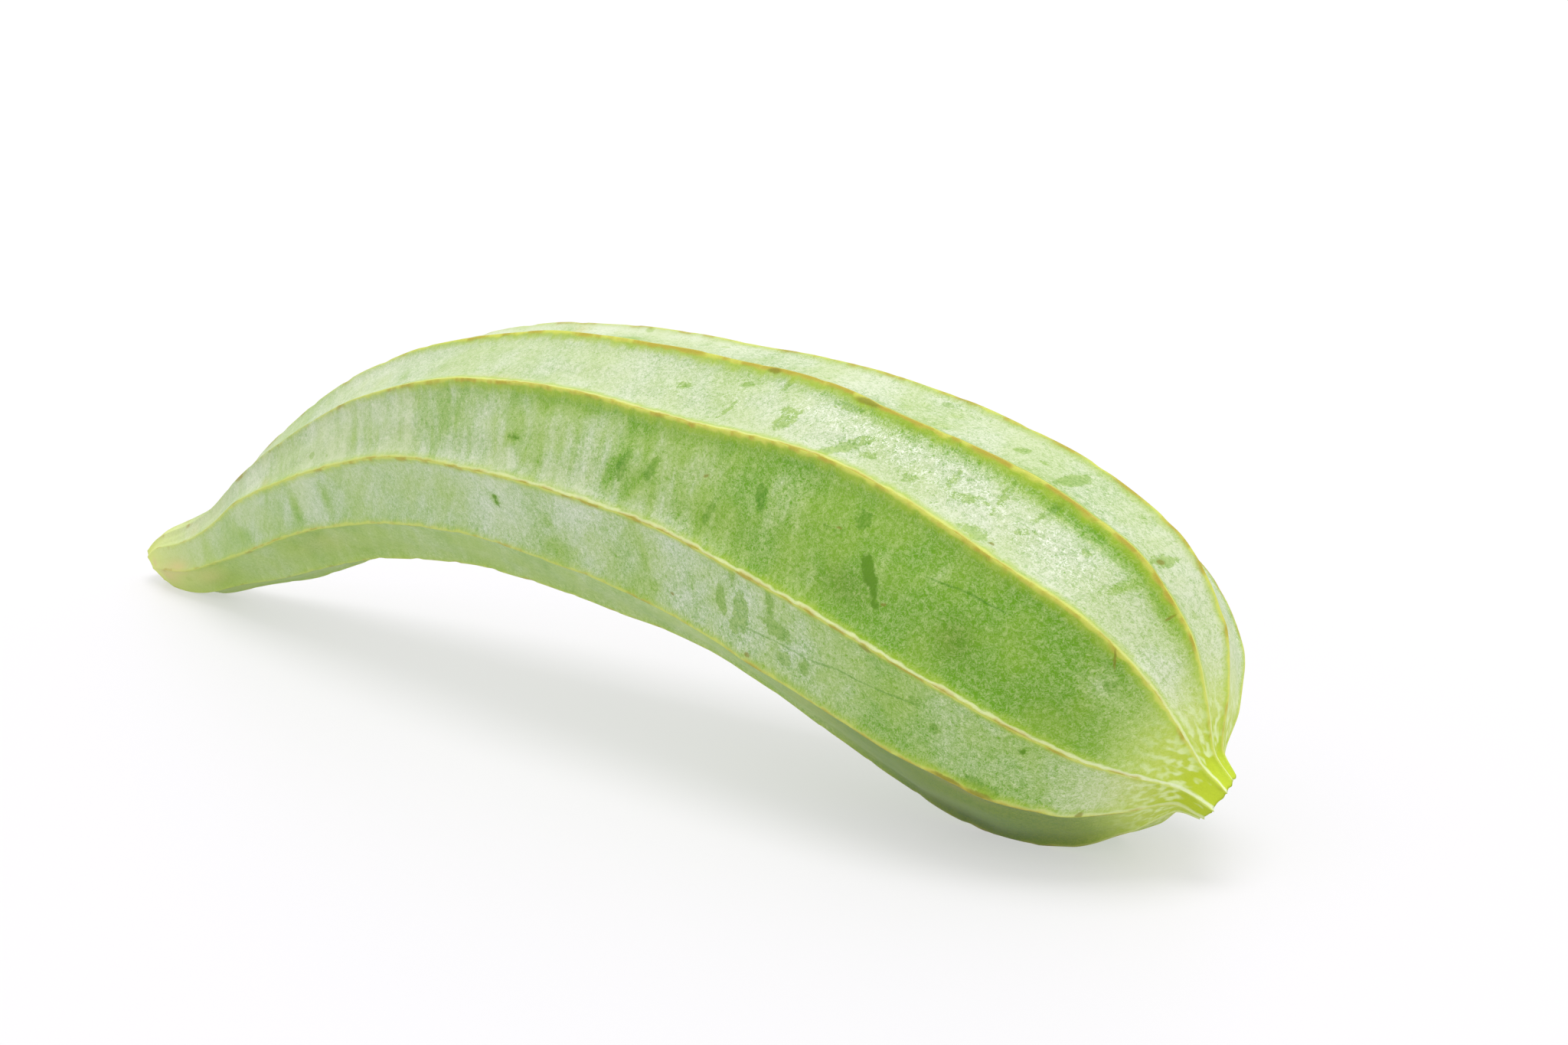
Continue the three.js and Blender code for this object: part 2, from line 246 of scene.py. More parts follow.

# ---------- Crests ----------

# Yellow line and rust along each crest, from rib 0 on: (distance along the axis, line, rust, cream).
# The cream on the upper edge is partly the crest's own pale colour, as at the blossom end, and partly
# a painted highlight where the upward flank catches the light.
CRESTS = (
    ((0, 0.2, 0, 0), (120, 0.5, 0.2, 0), (240, 0.6, 0.4, 0), (275, 0.9, 0.6, 0.3), (300, 0.4, 0, 0.6)),
    (
        (0, 0.1, 0, 0), (25, 0.4, 0, 0), (60, 0.6, 0, 0), (150, 0.6, 0.15, 0), (190, 0.7, 0.5, 0),
        (255, 0.9, 1, 0.1), (268, 1.1, 2, 0), (280, 0.9, 1, 0.2), (300, 0.4, 0, 0.8),
    ),
    (
        (0, 0, 0, 0), (25, 0.4, 0, 0), (50, 0.6, 0, 0), (90, 0.7, 0.2, 0.1), (130, 0.8, 0.6, 0.3),
        (165, 0.8, 0.5, 0.8), (225, 0.9, 0.75, 0.9), (250, 0.9, 0.5, 1), (284, 0.9, 0.6, 0.9),
        (292, 0.5, 0.2, 1), (300, 0.3, 0, 1),
    ),
    (
        (0, 0, 0, 0), (70, 0.35, 0, 0), (110, 0.7, 0.2, 0.2), (145, 1.1, 0.6, 0.4),
        (200, 1.1, 0.6, 0.5), (240, 1.1, 0.8, 0.3), (270, 1.1, 0.7, 0.2), (288, 1, 0.2, 0.5),
        (300, 0.3, 0, 1),
    ),
    (
        (0, 0, 0, 0), (90, 0.5, 0.2, 0), (140, 1.2, 0.6, 0), (205, 1.3, 1.7, 0), (238, 1.3, 1.5, 0),
        (275, 1.25, 1, 0), (290, 0.9, 0.2, 0.3), (300, 0.3, 0, 1),
    ),
    ((0, 0, 0, 0), (120, 0.4, 0.2, 0.3), (225, 0.9, 0.7, 0.2), (292, 1, 0.9, 0.3), (300, 0.3, 0, 1)),
) + (((0, 0, 0, 0), (100, 0.6, 0.3, 0), (290, 0.9, 0.5, 0), (300, 0.4, 0, 0.6)),) * 4

# ---------- Marks ----------
# Each is (distance along the axis, turn, half length, half width, degrees from the axis).

# Places that have lost their felt.
RUBBED_PATCHES = (
    (216.6, 1.52, 3.5, 1.8, 85), (214.8, 1.9, 1.6, 0.7, 80), (211.3, 1.52, 2.8, 1.2, 95),
    (214.5, 1.3, 1.8, 1.2, 60), (225.5, 1.56, 3.4, 1.5, -4), (224.2, 1.82, 2.4, 0.8, 90),
    (227.3, 1.26, 1.9, 1.3, 20), (232.5, 1.3, 1.7, 1, 70), (262.5, 1.48, 1.3, 0.5, 25),
    (272.5, 1.09, 3, 0.7, 0), (183, 2.42, 2.4, 0.9, 75), (190, 2.5, 2.2, 0.8, 70),
    (206, 2.3, 2.2, 0.7, 75), (232.6, 2.61, 1.3, 0.4, 12), (213.2, 3.38, 2.6, 1.7, 80),
    (212.2, 3.5, 1.6, 0.8, 0), (227.5, 3.34, 4.7, 1.0, 47), (231.6, 3.32, 1.2, 0.6, 20),
    (240.3, 3.3, 1.1, 0.6, 30), (250.6, 3.43, 2.4, 0.8, 25), (246.3, 3.54, 1.4, 0.5, 95),
    (260.8, 3.45, 1.1, 0.5, 10), (269, 3.66, 0.9, 0.6, 0), (255.6, 3.13, 2.4, 0.9, 5),
    (258.3, 4.5, 3.6, 1.2, 88), (248.5, 4.55, 1.4, 0.7, 60), (199.6, 3.74, 1.1, 0.8, 20),
    (207.5, 3.85, 1.2, 0.5, 80), (200.2, 3.32, 1.3, 0.45, 85), (222, 3.83, 2, 0.5, 10),
    (254.5, 3.7, 2.7, 0.5, 100), (261, 3.76, 2.6, 0.4, 80), (233.8, 3.93, 2, 0.4, 0),
    (252.9, 4.51, 0.8, 0.5, 0), (275.4, 4.42, 2.6, 0.8, 85), (187.5, 3.54, 1.3, 0.7, 0),
    (216.3, 2.58, 2.2, 1.0, -65), (237.5, 2.75, 1.5, 1.3, 80), (256, 6.5, 3, 1, 60),
    (233, 6.4, 2, 0.9, 85), (204, 6.6, 1.6, 0.8, 20), (150, 6.4, 2.2, 0.9, 75),
    (221, 7.6, 3.4, 1.2, 80), (243, 7.3, 2, 1, 40), (175, 7.5, 1.8, 0.9, 95), (196, 8.4, 2.6, 1.1, 70),
    (236, 8.6, 1.6, 1, 30), (252, 8.4, 3, 0.9, 85), (212, 9.5, 3, 1, 80), (140, 8.5, 1.7, 0.8, 60),
)

# Deep green places where the skin is bruised.
DEEP_PATCHES = (
    (241.4, 2.51, 1.4, 1.0, -20), (243.2, 2.42, 2.6, 1.1, -40), (245.4, 2.3, 1.5, 0.6, -55),
    (148.4, 1.62, 1.2, 0.5, -60), (278, 1.76, 0.5, 0.4, 0), (235.6, 2.45, 0.6, 0.4, 0),
    (153.4, 2.44, 1.2, 0.5, 0),
)

# Brown scabs.
SCABS = (
    (247.6, 1.965, 1.3, 0.6, 0), (224.5, 3.97, 2.6, 0.5, 0), (203, 3.97, 1.4, 0.4, 0),
    (233.8, 2.615, 0.6, 0.2, 10), (247.5, 2.3, 0.6, 0.25, 30), (275.4, 4.36, 0.9, 0.4, 80),
    (282.3, 3.88, 0.9, 0.22, 75), (282, 2.93, 1.4, 0.2, -62), (258.6, 3.13, 0.5, 0.25, 0),
    (217.9, 1.06, 0.7, 0.3, 0), (267, 1.015, 3, 0.28, 0), (273.5, 1.02, 2.5, 0.3, 0),
    (288, 1.02, 0.6, 0.45, 0), (202.8, 2.6, 0.6, 0.3, 30), (197, 1.22, 0.5, 0.3, 0),
    (224.5, 7.02, 1.1, 0.4, 0), (187, 8.03, 0.9, 0.4, 0),
)

# A long thin scratch on the face over rib 1, and a hair line on the face over rib 2: their turns
# along the way.
SCRATCHES = (
    ((217.5, 1.35), (225, 1.41), (233.7, 1.43), (240, 1.51), (248.7, 1.56), (257, 1.63)),
    ((253, 2.64), (259, 2.7), (266, 2.73)),
)

# ---------- View ----------

CAMERA_AZIMUTH = 43.97
CAMERA_ELEVATION = 12.22
CAMERA_DISTANCE = 0.5097
CAMERA_AIM = Vector((0.02784, 0.0243, 0.03469))
CAMERA_LENS = 62.87
SENSOR_WIDTH = 36.0


# ---------- Curves ----------

def smooth_table(rows):
    """A curve through the rows (at, value) that never swings past them.

    Each piece is a cubic. Its slope at a row is the harmonic mean of the slopes on the row's two
    sides, or level where the values turn.
    """
    at, value = np.array(rows, float).T
    rise = np.diff(value) / np.diff(at)
    before = np.r_[rise[0], rise]
    after = np.r_[rise, rise[-1]]
    total = np.where(before + after == 0, 1, before + after)
    slope = np.where(before * after > 0, 2 * before * after / total, 0)

    def curve(x):
        i = np.clip(np.searchsorted(at, x) - 1, 0, len(rise) - 1)
        span = at[i + 1] - at[i]
        t = (x - at[i]) / span
        start = value[i] * (1 + 2 * t) * (1 - t) ** 2 + slope[i] * span * t * (1 - t) ** 2
        finish = value[i + 1] * (3 - 2 * t) * t ** 2 - slope[i + 1] * span * (1 - t) * t ** 2
        return start + finish

    return curve


crest_radius = smooth_table(CREST_RADIUS)
axis_slope = smooth_table(AXIS_SLOPE)
rib_turn = smooth_table(RIB_TURN)
rib_shifts = [smooth_table(rows) for rows in RIB_SHIFTS]


def axis_place(s):
    """Centre of the section at a distance along the axis: the sum of short steps along the slope."""
    ends = np.arange(0, AXIS_LENGTH + AXIS_STEP / 2, AXIS_STEP)
    slope = np.radians(axis_slope(ends[:-1] + AXIS_STEP / 2))
    x = np.r_[0, np.cumsum(np.cos(slope))] * AXIS_STEP
    z = np.r_[0, np.cumsum(np.sin(slope))] * AXIS_STEP
    return np.interp(s, ends, x), np.interp(s, ends, z)


# ---------- Skin ----------

def growth(s):
    return np.minimum(crest_radius(s) / FULL_GROWTH_RADIUS, 1)


def rib_angle(rib, s):
    """Angle of a rib: its even place, its own shift, the slow turn, and a small wander."""
    own = rib % RIB_COUNT
    even = rib_turn(s) + 360 / RIB_COUNT * rib + np.choose(own, [shift(s) for shift in rib_shifts])
    wander = np.sin(s / 11 + 1.9 * own) + 0.5 * np.sin(s / 6.3 + 4.1 * own)
    return np.radians(even) + CREST_WANDER * growth(s) * wander / crest_radius(s)


def rib_height(rib, s):
    """Height of a crest over its faces: a share of the radius up to the full height, with long
    waves and, on this fine surface, short nicks along it."""
    own = rib % RIB_COUNT
    height = np.minimum(RIB_HEIGHT, RIB_HEIGHT_SHARE * crest_radius(s))
    uneven = np.sin(s / 5.1 + 2.4 * own) + 0.6 * np.sin(s / 2.9 + 1.7 * own)
    nicks = np.sin(s / 1.37 + 5.3 * own) * np.sin(s / 4.3 + 2.2 * own) ** 5
    return height * (1 + growth(s) * (CREST_UNEVENNESS * uneven - CREST_NICKS * np.maximum(nicks, 0)))


def flank(distance, width):
    """A rib's profile across: 1 on its rounded crest, then an exponential fall down its flank."""
    return np.exp(-(np.hypot(distance, CREST_ROUNDING) - CREST_ROUNDING) / width)


def cut_shift(s, sideways, downward):
    """How far a point moves along the axis so that the end near it is cut aslant."""
    shift = 0
    for (toward_front, down, reach), from_end in ((STEM_CUT, s), (BLOSSOM_CUT, AXIS_LENGTH - s)):
        nearness = np.maximum(1 - from_end / reach, 0) ** 2
        shift = shift + nearness * (toward_front * sideways + down * downward)
    return shift


def skin(s, rib, share):
    """Points of the skin over distance along the axis, rib, and share of the way to the next rib.

    The radius is a flattened circle between the ribs, plus the flank of the rib on each side, plus
    low swellings. The section is taller than wide, and stands square on the sloping axis.
    """
    crest = crest_radius(s)
    this_angle = rib_angle(rib, s)
    gap = rib_angle(rib + 1, s) - this_angle
    face = crest - np.minimum(RIB_HEIGHT, RIB_HEIGHT_SHARE * crest)
    flatness = 1 - np.cos(gap / 2) / np.cos(gap * (share - 0.5))
    width = np.minimum(FLANK_WIDTH, FLANK_WIDTH_SHARE * crest)
    ribs = rib_height(rib, s) * flank(crest * gap * share, width)
    ribs = ribs + rib_height(rib + 1, s) * flank(crest * gap * (1 - share), width)
    turn = 2 * np.pi * (rib + share) / RIB_COUNT
    swelling = np.cos(3 * turn + s / 19) + 0.7 * np.cos(5 * turn - s / 13)
    fine = np.sin(9 * turn + s / 3.1) * np.sin(s / 4.7 - 14 * turn) + np.sin(23 * turn - s / 5.3)
    fine = fine * np.sin(np.pi * share) ** 2
    radius = face * (1 - FACE_FLATNESS * flatness) + ribs
    radius = radius + growth(s) * (SWELLING * swelling + FINE_SWELLING * fine)
    angle = this_angle + gap * share
    downward = radius * np.cos(angle) * (1 + UPRIGHT_OVAL)
    sideways = radius * np.sin(angle) * (1 - UPRIGHT_OVAL)
    onward = cut_shift(s, sideways, downward)
    slope = np.radians(axis_slope(s))
    x, z = axis_place(s)
    x = x + downward * np.sin(slope) + onward * np.cos(slope)
    z = z - downward * np.cos(slope) + onward * np.sin(slope)
    return np.stack([x, -sideways, z], -1)


def face_width(s, rib):
    """Distance from a rib to the next one, round the crests."""
    return crest_radius(s) * (rib_angle(rib + 1, s) - rib_angle(rib, s))


def skin_length(s):
    """Distance along the skin from the stem end: the sum of short steps along the crest profile."""
    ends = np.arange(0, AXIS_LENGTH + AXIS_STEP / 2, AXIS_STEP)
    steps = np.hypot(AXIS_STEP, np.diff(crest_radius(ends)))
    return np.interp(s, ends, np.r_[0, np.cumsum(steps)])


def ring_distances():
    spans = [np.linspace(start, end, steps, endpoint=False) for start, end, steps in RING_SPANS]
    return np.r_[np.concatenate(spans), AXIS_LENGTH]


def column_shares():
    """Shares of the way from rib to rib: even steps, pulled towards both ribs by a sine."""
    even = np.arange(COLUMNS_PER_FACE) / COLUMNS_PER_FACE
    return even - COLUMN_CROWDING * np.sin(2 * np.pi * even) / (2 * np.pi)


def dish(rim, s, inward):
    """Rings from the rim to the centre of a hollow cut end: the rim shrunk about the axis, and sunk
    by the dish's depth times one less a power of the shrinking."""
    x, z = axis_place(s)
    slope = math.radians(float(axis_slope(s)))
    centre = np.array([x, 0, z])
    along = np.array([math.cos(slope), 0, math.sin(slope)])
    shrink = (1 - np.arange(1, DISH_RINGS + 1) / DISH_RINGS)[:, None, None]
    depth = DISH_DEPTH * (1 - shrink ** 2.4)
    return centre + (rim - centre) * shrink + inward * depth * along


def torn_rim(points, s):
    """Pushes the last few rings of the collar to and fro along the axis, more towards the rim."""
    turn = np.arange(points.shape[1]) * 2 * np.pi / points.shape[1]
    ragged = np.sin(7 * turn) + np.sin(11 * turn + 1) + np.sin(19 * turn + 2) + 0.6 * np.sin(31 * turn)
    slope = math.radians(float(axis_slope(AXIS_LENGTH)))
    along = np.array([math.cos(slope), 0, math.sin(slope)])
    near = np.clip((s[:, 0] - AXIS_LENGTH + 3) / 3, 0, 1) ** 2
    push = TORN_RIM * (ragged / 3 - 0.4)[None, :] * near[:, None]
    return points + push[..., None] * along


def by_face(tables, s, turn):
    """Values of the face tables, each along its own face."""
    return np.choose(np.floor(turn).astype(int), [smooth_table(rows)(s) for rows in tables])


def soft_places(s, turn, places):
    """The sum of smooth bumps. Each is largest at its centre and fades out past its half length and
    half height, as exp(-1.5 r^2) with r the distance over the half sizes."""
    total = 0 * s
    rib = np.floor(turn).astype(int)
    for along, centre, length, height, lean, amount in places:
        off = (turn - centre + RIB_COUNT / 2) % RIB_COUNT - RIB_COUNT / 2
        up = off * face_width(s, rib)
        tilt = math.radians(lean)
        onward = ((s - along) * math.cos(tilt) + up * math.sin(tilt)) / length
        across = (up * math.cos(tilt) - (s - along) * math.sin(tilt)) / height
        total = total + amount * np.exp(-1.5 * (onward ** 2 + across ** 2))
    return total


def next_rib(rib):
    return (rib + 1) % RIB_COUNT


def patches_along(s, rib):
    """Slow thick and thin of the felt along each face: the sum of sine waves whose lengths and
    starts are drawn at random for that face."""
    draw = np.random.default_rng(PATCH_SEED)
    lengths = draw.uniform(*PATCH_LENGTHS, (RIB_COUNT, PATCH_WAVES))
    starts = draw.uniform(0, 2 * np.pi, (RIB_COUNT, PATCH_WAVES))
    waves = [np.sin(2 * np.pi * s / lengths[rib, i] + starts[rib, i]) for i in range(PATCH_WAVES)]
    return PATCH_HEIGHT * sum(waves)


def bloom_cover(s, turn):
    """Cover of the bloom: each face's own with its patches, what is added next to the ribs, and the
    soft places."""
    rib = np.floor(turn).astype(int)
    width = face_width(s, rib)
    above = (turn - rib) * width
    below = width - above
    at_above = [smooth_table([(at, up) for at, _, up in rows])(s) for rows in RIB_BLOOM]
    at_below = [smooth_table([(at, down) for at, down, _ in rows])(s) for rows in RIB_BLOOM]
    cover = by_face(FACE_BLOOM, s, turn) + patches_along(s, rib)
    cover = cover + BLOOM_PLACE_STRENGTH * soft_places(s, turn, BLOOM_PLACES)
    cover = cover + np.choose(rib, at_above) * np.exp(-(above / RIB_BLOOM_REACH) ** 2)
    return cover + np.choose(next_rib(rib), at_below) * np.exp(-(below / RIB_BLOOM_REACH) ** 2)


def mark_field(s, turn, rows):
    """How deep a point is inside the nearest elliptic mark, in millimetres: the half width times one
    less the distance over the half sizes. It is negative outside the marks."""
    depth = np.full(s.shape, -3.0)
    rib = np.floor(turn).astype(int)
    width = face_width(s, rib)
    for along, centre, length, height, degrees in rows:
        off = (turn - centre + RIB_COUNT / 2) % RIB_COUNT - RIB_COUNT / 2
        tilt = math.radians(degrees)
        onward = ((s - along) * math.cos(tilt) + off * width * math.sin(tilt)) / length
        across = (off * width * math.cos(tilt) - (s - along) * math.sin(tilt)) / height
        depth = np.maximum(depth, height * (1 - np.hypot(onward, across)))
    return depth


def crest_values(s, turn, column):
    """A column of the crest tables, for the rib nearest to each point."""
    nearest = np.floor(turn + 0.5).astype(int) % RIB_COUNT
    tables = [smooth_table([(row[0], row[column]) for row in rows])(s) for rows in CRESTS]
    return np.choose(nearest, tables)


def gourd_grid():
    """Rings of skin points from the stem end's centre to the blossom end's, in millimetres, with
    the distance along the axis of each ring, and the rib and share of each column."""
    s = ring_distances()
    rib = np.repeat(np.arange(RIB_COUNT), COLUMNS_PER_FACE)
    share = np.tile(column_shares(), RIB_COUNT)
    points = torn_rim(skin(s[:, None], rib[None, :], share[None, :]), s[:, None])
    stem = dish(points[:1], 0.0, 1)[::-1]
    blossom = dish(points[-1:], AXIS_LENGTH, -1)
    grid = np.concatenate([stem, points, blossom])
    along = np.r_[np.zeros(DISH_RINGS), s, np.full(DISH_RINGS, AXIS_LENGTH)]
    depth = np.arange(1, DISH_RINGS + 1) / DISH_RINGS
    cut = np.r_[depth[::-1], 0 * s, depth]
    return grid, along, cut, rib, share


def rest_on_ground(points):
    """Moves the fruit so that its box is over the solid's, then presses what is below the ground
    level onto it, and keeps every point inside the solid's box."""
    low = points.reshape(-1, 3).min(0)
    high = points.reshape(-1, 3).max(0)
    move = (cad_low + cad_high) / 2 / MM - (low + high) / 2
    move[2] = -low[2] - FLAT_DEPTH
    return np.clip((points + move) * MM, cad_low, cad_high)


def cell_corners(at_near, at_far):
    """Values at each cell's corners: this ring and the next one, at the near and the far column."""
    return np.stack([at_near[:-1], at_near[1:], at_far[1:], at_far[:-1]], -1).reshape(-1, 4)


def write_mesh(name, grid, charts, fields):
    """A closed mesh from rings of points, whose first and last rings have shrunk to one point.

    A chart is (name, across, up), each with a value for every corner of every cell, so that a
    chart may begin anew at each rib. A field has one value for every point.
    """
    rings, columns = grid.shape[:2]
    vertices = np.concatenate([grid[0, :1], grid[1:-1].reshape(-1, 3), grid[-1, :1]])
    index = np.zeros((rings, columns), int)
    index[1:-1] = 1 + np.arange((rings - 2) * columns).reshape(rings - 2, columns)
    index[-1] = len(vertices) - 1
    keep = np.ones((rings - 1, columns, 4), bool)
    keep[0, :, 3] = False
    keep[-1, :, 2] = False
    keep = keep.reshape(-1, 4)
    sizes = keep.sum(1)
    mesh = bpy.data.meshes.new(name)
    mesh.vertices.add(len(vertices))
    mesh.vertices.foreach_set("co", vertices.ravel())
    mesh.loops.add(int(sizes.sum()))
    mesh.loops.foreach_set("vertex_index", cell_corners(index, np.roll(index, -1, 1))[keep])
    mesh.polygons.add(len(sizes))
    mesh.polygons.foreach_set("loop_start", np.r_[0, np.cumsum(sizes)[:-1]])
    mesh.polygons.foreach_set("use_smooth", np.ones(len(sizes), bool))
    mesh.update(calc_edges=True)
    for title, across, up in charts:
        places = np.stack([across[keep], up[keep]], -1) / CHART_SPAN
        mesh.uv_layers.new(name=title).data.foreach_set("uv", places.ravel())
    for field, values in fields.items():
        flat = np.r_[values[0, 0], values[1:-1].ravel(), values[-1, 0]]
        mesh.attributes.new(field, "FLOAT", "POINT").data.foreach_set("value", flat)
    return mesh


# ---------- Shader helpers ----------

class Shader:
    """Adds nodes to a tree. Each method returns an output of the new node."""

    def __init__(self, tree):
        self.tree = tree

    def node(self, kind, inputs=None, **settings):
        made = self.tree.nodes.new(kind)
        for name, value in settings.items():
            setattr(made, name, value)
        for key, value in (inputs or {}).items():
            if isinstance(value, bpy.types.NodeSocket):
                self.tree.links.new(value, made.inputs[key])
            else:
                made.inputs[key].default_value = value
        return made

    def maths(self, operation, *values, clamp=False):
        settings = {"operation": operation, "use_clamp": clamp}
        return self.node("ShaderNodeMath", dict(enumerate(values)), **settings).outputs[0]

    def times(self, a, b):
        return self.maths("MULTIPLY", a, b)

    def plus(self, a, b):
        return self.maths("ADD", a, b)

    def minus(self, a, b):
        return self.maths("SUBTRACT", a, b)

    def more(self, total, a, b):
        """The total plus a times b."""
        return self.maths("MULTIPLY_ADD", a, b, total)

    def centred(self, value, amount):
        """A noise value about 0, times an amount."""
        return self.maths("MULTIPLY_ADD", value, amount, -0.5 * amount)

    def step(self, value, low, high, start=0.0, end=1.0):
        """A smooth step of the value from start at low to end at high."""
        inputs = {0: value, 1: low, 2: high, 3: start, 4: end}
        return self.node("ShaderNodeMapRange", inputs, interpolation_type="SMOOTHSTEP").outputs[0]

    def noise(self, where, scale, detail=2.0, roughness=0.5, output=0):
        inputs = {"Vector": where, "Scale": scale, "Detail": detail, "Roughness": roughness}
        return self.node("ShaderNodeTexNoise", inputs).outputs[output]

    def stretched(self, along, across, shares, detail=2.0, roughness=0.5):
        """Noise over the chart of the faces: its shares scale the distances along and across, and
        the third picks another slice."""
        where = self.join(self.times(along, shares[0]), self.times(across, shares[1]), shares[2])
        return self.noise(where, 1.0, detail, roughness)

    def vector(self, operation, *values):
        inputs = dict(enumerate(values))
        return self.node("ShaderNodeVectorMath", inputs, operation=operation).outputs[0]

    def scaled(self, vector, scale):
        inputs = {0: vector, "Scale": scale}
        return self.node("ShaderNodeVectorMath", inputs, operation="SCALE").outputs[0]

    def blend(self, share, a, b):
        """Mixes two colours."""
        return self.node("ShaderNodeMix", {0: share, 6: a, 7: b}, data_type="RGBA").outputs[2]

    def tint(self, share, tone, factors):
        """Multiplies a colour by the factors, as far as the share says."""
        return self.multiplied(share, tone, (*factors, 1.0))

    def multiplied(self, share, a, b):
        inputs = {0: share, 6: a, 7: b}
        return self.node("ShaderNodeMix", inputs, data_type="RGBA", blend_type="MULTIPLY").outputs[2]

    def field(self, name):
        return self.node("ShaderNodeAttribute", attribute_name=name).outputs["Fac"]

    def chart(self, name):
        """A chart's places in millimetres."""
        return self.scaled(self.node("ShaderNodeUVMap", uv_map=name).outputs[0], CHART_SPAN)

    def parts(self, vector):
        return self.node("ShaderNodeSeparateXYZ", {0: vector}).outputs

    def join(self, x, y, z=0.0):
        return self.node("ShaderNodeCombineXYZ", {0: x, 1: y, 2: z}).outputs[0]

    def group(self, tree, inputs):
        return self.node("ShaderNodeGroup", inputs, node_tree=tree).outputs


def new_group(name, inputs, outputs):
    """A shader node group with named sockets, its own inputs, and the node that takes its outputs.
    Inputs are (name, kind, default)."""
    tree = bpy.data.node_groups.new(name, "ShaderNodeTree")
    for title, kind, default in inputs:
        socket = tree.interface.new_socket(title, in_out="INPUT", socket_type="NodeSocket" + kind)
        if default is not None:
            socket.default_value = default
    for title in outputs:
        tree.interface.new_socket(title, in_out="OUTPUT", socket_type="NodeSocketFloat")
    shader = Shader(tree)
    return shader, shader.node("NodeGroupInput").outputs


def colour(red, green, blue):
    return (red, green, blue, 1.0)


# ---------- Skin material ----------

CHART_SPAN = 400.0  # millimetres that a chart holds
FACE_PITCH = 40.0  # millimetres between the faces' places in the chart of the skin

DEEP_GREEN = (0.12, 0.31, 0.0)
FRESH_GREEN = (0.36, 0.50, 0.06)
PALE_FELT = (0.63, 0.68, 0.50)
THIN_FELT = (0.58, 0.67, 0.31)
LEAST_COVER = 0.19  # pale fibres that even the barest skin keeps
COVER_SHARE = 0.67
BAREST_COVER = -0.06
LIME = (0.62, 0.69, 0.16)
OCHRE = (0.60, 0.53, 0.20)
BRUISE_GREEN = (0.095, 0.235, 0.0)
# The white of the painted highlight glints.
PAINTED_GLINT_WHITE = (0.92, 0.95, 0.84)
TIP_OLIVE = (0.42, 0.52, 0.02)
TIP_ISLANDS = (0.62, 0.72, 0.28)
CREST_BORDER = (0.36, 0.50, 0.03)
CREST_YELLOW = (0.57, 0.61, 0.10)
CREST_CREAM_AND_HIGHLIGHT = (0.72, 0.78, 0.46)
SCAB_BROWN = (0.21, 0.19, 0.01)
CUT_FLESH = (0.70, 0.76, 0.42)

# What each of these multiplies the colour under it by.
RUBBED_TINT = (0.63, 0.77, 0.40)
SCRATCH_TINT = (0.6, 0.74, 0.48)
RUST_TINT = (0.72, 0.50, 0.25)

SCRATCH_HALF_WIDTH = 0.2
TIP_ISLANDS_THIN = 5.5  # millimetres before the rim where the pale islands get fewer
TIP_ISLANDS_LEFT = 2.0  # millimetres before the rim where few are left
BUMP_STRENGTH = 0.5
BUMP_HEIGHT = 0.15 * MM


def felt_group():
    """Fine curled fibres: ridges of a noise that a coarser noise bends. Gives the felt's cover in
    patches of bare skin and felt, the pale curls alone, and the height of both."""
    inputs = [("Vector", "Vector", None), ("Cover", "Float", 0.5), ("Contrast", "Float", 1.0)]
    shader, given = new_group("felt", inputs, ["Mask", "Curls", "Height"])
    bend = shader.noise(given["Vector"], 1.3, 1.0, output=1)
    bent = shader.vector("MULTIPLY_ADD", bend, (1.3, 1.3, 1.3), given["Vector"])
    fibres = shader.noise(bent, 2.6, 2.0, 0.6)
    ridge = shader.maths("ABSOLUTE", shader.centred(shader.noise(bent, 1.9, 1.0, 0.5), 2.0))
    curls = shader.step(ridge, 0.0, 0.2, 1.0, 0.0)
    flecks = shader.noise(given["Vector"], 0.9, 2.0, 0.6)
    both = shader.plus(shader.centred(fibres, 1.1), shader.centred(flecks, 0.7))
    both = shader.more(both, shader.minus(curls, 0.3), 0.2)
    base = shader.maths("MULTIPLY_ADD", given["Cover"], COVER_SHARE, LEAST_COVER)
    mask = shader.maths("MULTIPLY_ADD", both, given["Contrast"], base, clamp=True)
    shader.node("NodeGroupOutput", {"Mask": mask, "Curls": curls, "Height": both})
    return shader.tree


def mark_group():
    """An ellipse with a soft edge, on a chart in millimetres."""
    inputs = [
        ("Vector", "Vector", None), ("Centre", "Vector", None), ("Half Size", "Vector", None),
        ("Turn", "Float", 0.0), ("Softness", "Float", 0.25),
    ]
    shader, given = new_group("mark", inputs, ["Mask"])
    away = shader.vector("SUBTRACT", given["Vector"], given["Centre"])
    about = {"Vector": away, "Angle": given["Turn"]}
    turned = shader.node("ShaderNodeVectorRotate", about, rotation_type="Z_AXIS")
    fitted = shader.vector("DIVIDE", turned.outputs[0], given["Half Size"])
    reach = shader.node("ShaderNodeVectorMath", {0: fitted}, operation="LENGTH").outputs["Value"]
    inner = shader.minus(1.0, given["Softness"])
    outer = shader.plus(1.0, given["Softness"])
    shader.node("NodeGroupOutput", {"Mask": shader.step(reach, inner, outer, 1.0, 0.0)})
    return shader.tree


def chart_place(along, turn):
    """A skin place in the chart of the faces, in millimetres."""
    rib = int(turn)
    across = FACE_PITCH * rib + (turn - rib) * float(face_width(float(along), rib))
    return (float(skin_length(along)), across, 0.0)


def marks(shader, group, where, rows, softness):
    """The union of marks: the largest of their masks."""
    union = 0.0
    for along, turn, length, width, angle in rows:
        inputs = {
            "Vector": where, "Centre": chart_place(along, turn), "Half Size": (length, width, 1.0),
            "Turn": -math.radians(angle), "Softness": softness,
        }
        union = shader.maths("MAXIMUM", union, shader.group(group, inputs)[0])
    return union


